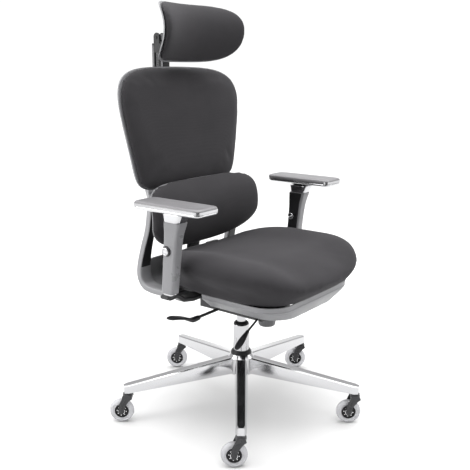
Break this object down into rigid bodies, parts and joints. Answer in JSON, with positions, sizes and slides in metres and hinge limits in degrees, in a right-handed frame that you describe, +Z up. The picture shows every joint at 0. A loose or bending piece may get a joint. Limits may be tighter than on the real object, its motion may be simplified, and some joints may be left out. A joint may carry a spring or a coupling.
{
  "type": "swivel office chair",
  "caption": "Ergonomic swivel chair: star base on casters, gas column, padded seat, height-adjustable arms, split back with lumbar pad, and a tilting headrest.",
  "frame": {"origin": "on the floor, at the middle of the chair's bounding box; the gas column stands 15 mm to the sitter's right and 14.5 mm in front of it", "axes": "+Z up, -Y the way the sitter faces, +X to the sitter's left"},
  "size_m": [0.7407, 0.757, 1.2417],
  "materials": {
    "polished_aluminium": "polished",
    "chrome": "polished",
    "black_plastic": "satin",
    "grey_plastic": "satin",
    "charcoal_plastic": "satin",
    "black_steel": "satin",
    "spring_steel": "satin",
    "clear_tyre": "gloss",
    "seat_fabric": "matte",
    "armrest_foam": "satin"
  },
  "bodies": {
    "base": {"star_base": "polished_aluminium", "hub_cap": "black_plastic", "column_tube": "chrome", "column_bush": "black_plastic"},
    "caster_1": {"caster_fork_1": "charcoal_plastic"},
    "wheel_1": {"caster_hub_1": "black_plastic", "caster_tyre_1": "clear_tyre"},
    "caster_2": {"caster_fork_2": "charcoal_plastic"},
    "wheel_2": {"caster_hub_2": "black_plastic", "caster_tyre_2": "clear_tyre"},
    "caster_3": {"caster_fork_3": "charcoal_plastic"},
    "wheel_3": {"caster_hub_3": "black_plastic", "caster_tyre_3": "clear_tyre"},
    "caster_4": {"caster_fork_4": "charcoal_plastic"},
    "wheel_4": {"caster_hub_4": "black_plastic", "caster_tyre_4": "clear_tyre"},
    "caster_5": {"caster_fork_5": "charcoal_plastic"},
    "wheel_5": {"caster_hub_5": "black_plastic", "caster_tyre_5": "clear_tyre"},
    "lift": {"piston_rod": "chrome"},
    "mechanism": {"tilt_housing": "black_steel", "tension_spring": "spring_steel", "recline_pin": "spring_steel", "seat_pivot_pin": "spring_steel"},
    "knob": {"tension_knob": "grey_plastic"},
    "height_lever": {"height_lever_rod": "black_steel", "height_lever_grip": "black_plastic"},
    "lock_lever": {"lock_lever_rod": "black_steel", "lock_lever_grip": "black_plastic"},
    "seat": {"seat_board": "black_plastic", "seat_pan": "grey_plastic", "seat_cushion": "seat_fabric", "right_arm_bracket": "black_steel", "left_arm_bracket": "black_steel", "right_arm_ferrule": "polished_aluminium", "left_arm_ferrule": "polished_aluminium"},
    "right_arm": {"right_arm_sleeve": "charcoal_plastic", "right_arm_collar": "polished_aluminium"},
    "right_lock": {"right_arm_lock_pin": "chrome"},
    "right_pivot": {"right_arm_pivot_plate": "black_plastic"},
    "right_pad": {"right_arm_pad_tray": "polished_aluminium", "right_arm_pad": "armrest_foam"},
    "left_arm": {"left_arm_sleeve": "charcoal_plastic", "left_arm_collar": "polished_aluminium"},
    "left_lock": {"left_arm_lock_pin": "chrome"},
    "left_pivot": {"left_arm_pivot_plate": "black_plastic"},
    "left_pad": {"left_arm_pad_tray": "polished_aluminium", "left_arm_pad": "armrest_foam"},
    "back": {"back_yoke": "black_steel", "right_back_rail": "grey_plastic", "left_back_rail": "grey_plastic", "back_spine": "black_plastic", "back_shell": "grey_plastic", "back_pad": "seat_fabric"},
    "lumbar": {"lumbar_shell": "grey_plastic", "lumbar_pad": "seat_fabric"},
    "headrest_slide": {"headrest_post": "black_plastic"},
    "headrest": {"headrest_bracket": "charcoal_plastic", "headrest_shell": "grey_plastic", "headrest_pad": "seat_fabric"}
  },
  "joints": [
    {"name": "caster_swivel_1", "type": "hinge", "parent": "base", "child": "caster_1", "pos_m": [0.10643, -0.35552, 0.1], "axis": [0, 0, 1], "continuous": true},
    {"name": "wheel_spin_1", "type": "hinge", "parent": "caster_1", "child": "wheel_1", "pos_m": [0.09496, -0.34063, 0.0374], "axis": [0.7923, 0.6102, 0], "continuous": true},
    {"name": "caster_swivel_2", "type": "hinge", "parent": "base", "child": "caster_2", "pos_m": [0.34686, -0.00439, 0.1], "axis": [0, 0, 1], "continuous": true},
    {"name": "wheel_spin_2", "type": "hinge", "parent": "caster_2", "child": "wheel_2", "pos_m": [0.33539, 0.0105, 0.0374], "axis": [0.7923, 0.6102, 0], "continuous": true},
    {"name": "caster_swivel_3", "type": "hinge", "parent": "base", "child": "caster_3", "pos_m": [0.08721, 0.33277, 0.1], "axis": [0, 0, 1], "continuous": true},
    {"name": "wheel_spin_3", "type": "hinge", "parent": "caster_3", "child": "wheel_3", "pos_m": [0.07574, 0.34767, 0.0374], "axis": [0.7923, 0.6102, 0], "continuous": true},
    {"name": "caster_swivel_4", "type": "hinge", "parent": "base", "child": "caster_4", "pos_m": [-0.31369, 0.19002, 0.1], "axis": [0, 0, 1], "continuous": true},
    {"name": "wheel_spin_4", "type": "hinge", "parent": "caster_4", "child": "wheel_4", "pos_m": [-0.32516, 0.20491, 0.0374], "axis": [0.7923, 0.6102, 0], "continuous": true},
    {"name": "caster_swivel_5", "type": "hinge", "parent": "base", "child": "caster_5", "pos_m": [-0.30181, -0.23537, 0.1], "axis": [0, 0, 1], "continuous": true},
    {"name": "wheel_spin_5", "type": "hinge", "parent": "caster_5", "child": "wheel_5", "pos_m": [-0.31328, -0.22048, 0.0374], "axis": [0.7923, 0.6102, 0], "continuous": true},
    {"name": "height_slide", "type": "slide", "parent": "base", "child": "lift", "axis": [0, 0, 1], "range_m": [-0.02, 0.08]},
    {"name": "seat_swivel", "type": "hinge", "parent": "lift", "child": "mechanism", "pos_m": [-0.015, -0.0145, 0.36], "axis": [0, 0, 1], "continuous": true},
    {"name": "tension_turn", "type": "hinge", "parent": "mechanism", "child": "knob", "pos_m": [-0.015, -0.1125, 0.3], "axis": [0, 0, 1], "continuous": true},
    {"name": "height_lever_lift", "type": "hinge", "parent": "mechanism", "child": "height_lever", "pos_m": [-0.083, -0.0145, 0.354], "axis": [0, 1, 0], "range_deg": [0, 8], "stiffness_Nm_per_rad": 3, "springref_deg": -8.59},
    {"name": "lock_lever_turn", "type": "hinge", "parent": "mechanism", "child": "lock_lever", "pos_m": [-0.083, -0.1295, 0.338], "axis": [0, 1, 0], "range_deg": [0, 12]},
    {"name": "back_recline", "type": "hinge", "parent": "mechanism", "child": "back", "pos_m": [-0.015, 0.0755, 0.372], "axis": [-1, 0, 0], "range_deg": [0, 20]},
    {"name": "seat_tilt", "type": "hinge", "parent": "mechanism", "child": "seat", "pos_m": [-0.015, -0.1245, 0.374], "axis": [-1, 0, 0], "range_deg": [0, 5]},
    {"name": "right_arm_height", "type": "slide", "parent": "seat", "child": "right_arm", "axis": [0, -0.0975, 0.9952], "range_m": [0, 0.07]},
    {"name": "right_lock_press", "type": "slide", "parent": "right_arm", "child": "right_lock", "axis": [1, 0, 0], "range_m": [0, 0.0025], "stiffness_N_per_m": 800, "springref_m": -0.002},
    {"name": "right_pad_swivel", "type": "hinge", "parent": "right_arm", "child": "right_pivot", "pos_m": [-0.317, -0.02284, 0.68], "axis": [0, 0, 1], "range_deg": [-18, 18]},
    {"name": "right_pad_slide", "type": "slide", "parent": "right_pivot", "child": "right_pad", "axis": [0, -1, 0], "range_m": [-0.02, 0.03]},
    {"name": "left_arm_height", "type": "slide", "parent": "seat", "child": "left_arm", "axis": [0, -0.0975, 0.9952], "range_m": [0, 0.07]},
    {"name": "left_lock_press", "type": "slide", "parent": "left_arm", "child": "left_lock", "axis": [-1, 0, 0], "range_m": [0, 0.0025], "stiffness_N_per_m": 800, "springref_m": -0.002},
    {"name": "left_pad_swivel", "type": "hinge", "parent": "left_arm", "child": "left_pivot", "pos_m": [0.287, -0.02284, 0.68], "axis": [0, 0, 1], "range_deg": [-18, 18]},
    {"name": "left_pad_slide", "type": "slide", "parent": "left_pivot", "child": "left_pad", "axis": [0, -1, 0], "range_m": [-0.02, 0.03]},
    {"name": "lumbar_tilt", "type": "hinge", "parent": "back", "child": "lumbar", "pos_m": [-0.015, 0.1615, 0.64], "axis": [1, 0, 0], "range_deg": [0, 4], "stiffness_Nm_per_rad": 40, "springref_deg": -1.72},
    {"name": "headrest_height", "type": "slide", "parent": "back", "child": "headrest_slide", "axis": [0, 0, 1], "range_m": [0, 0.05]},
    {"name": "headrest_tilt", "type": "hinge", "parent": "headrest_slide", "child": "headrest", "pos_m": [-0.015, 0.3095, 1.145], "axis": [1, 0, 0], "range_deg": [-25, 12]}
  ],
  "couplings": [
    {"joint": "seat_tilt", "follows": "back_recline", "ratio": 0.25}
  ]
}
